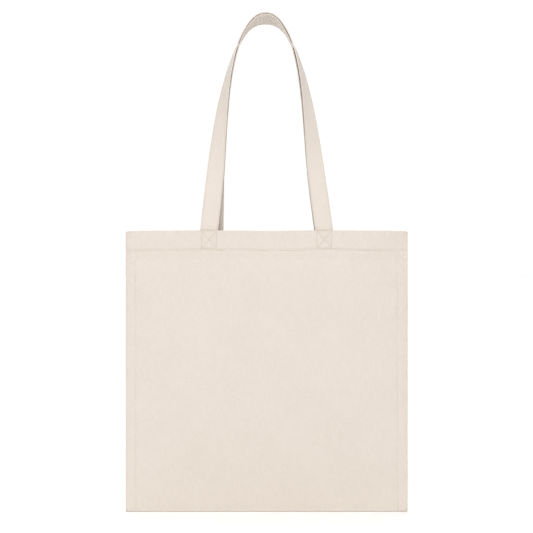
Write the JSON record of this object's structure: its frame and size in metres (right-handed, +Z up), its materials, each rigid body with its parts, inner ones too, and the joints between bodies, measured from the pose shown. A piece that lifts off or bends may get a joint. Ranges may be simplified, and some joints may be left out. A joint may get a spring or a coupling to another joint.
{
  "type": "tote bag",
  "caption": "Plain square canvas tote bag with a folded bottom, turned hem and long self-fabric handles sewn inside the rim, hung by its handles.",
  "frame": {"origin": "the seat where the peg bears, the middle of the underside of the lower handle at its crown", "axes": "+Z up as the bag hangs, front panel towards -Y, +X to the right of someone facing the front"},
  "size_m": [0.381, 0.0332, 0.67],
  "materials": {
    "canvas": "natural unbleached plain-weave cotton canvas, matt",
    "turned_canvas": "the same canvas turned in at the hem and side seams, matt",
    "strap_canvas": "the same canvas folded into a flat strap and edge-stitched, matt",
    "thread": "cotton sewing thread, a little darker where it sinks in"
  },
  "bodies": {
    "pouch_base": {"bottom_fold": "canvas", "side_seam_left": "turned_canvas", "side_seam_right": "turned_canvas", "side_stitch_left": "thread", "side_stitch_right": "thread", "overlock_left": "thread", "overlock_right": "thread"},
    "front_panel": {"front_panel": "canvas", "front_hem": "turned_canvas", "front_hem_stitch": "thread", "front_strap_end_left": "strap_canvas", "front_strap_end_right": "strap_canvas", "front_box_stitch_left": "thread", "front_box_stitch_right": "thread"},
    "back_panel": {"back_panel": "canvas", "back_hem": "turned_canvas", "back_hem_stitch": "thread", "back_strap_end_left": "strap_canvas", "back_strap_end_right": "strap_canvas", "back_box_stitch_left": "thread", "back_box_stitch_right": "thread"},
    "front_handle": {"front_handle": "strap_canvas", "front_handle_stitch": "thread"},
    "back_handle": {"back_handle": "strap_canvas", "back_handle_stitch": "thread"}
  },
  "joints": [
    {"name": "mouth_open", "type": "hinge", "parent": "pouch_base", "child": "front_panel", "pos_m": [0, 0, -0.663], "axis": [1, 0, 0], "range_deg": [0, 6]},
    {"name": "mouth_open_back", "type": "hinge", "parent": "pouch_base", "child": "back_panel", "pos_m": [0, 0, -0.663], "axis": [1, 0, 0], "range_deg": [-6, 0]},
    {"name": "front_handle_swing", "type": "hinge", "parent": "front_panel", "child": "front_handle", "pos_m": [0, -0.0147, -0.2835], "axis": [1, 0, 0], "range_deg": [0, 170]},
    {"name": "back_handle_swing", "type": "hinge", "parent": "back_panel", "child": "back_handle", "pos_m": [0, 0.0147, -0.2835], "axis": [1, 0, 0], "range_deg": [-170, 0]}
  ],
  "couplings": [
    {"joint": "mouth_open_back", "follows": "mouth_open", "ratio": -1}
  ]
}
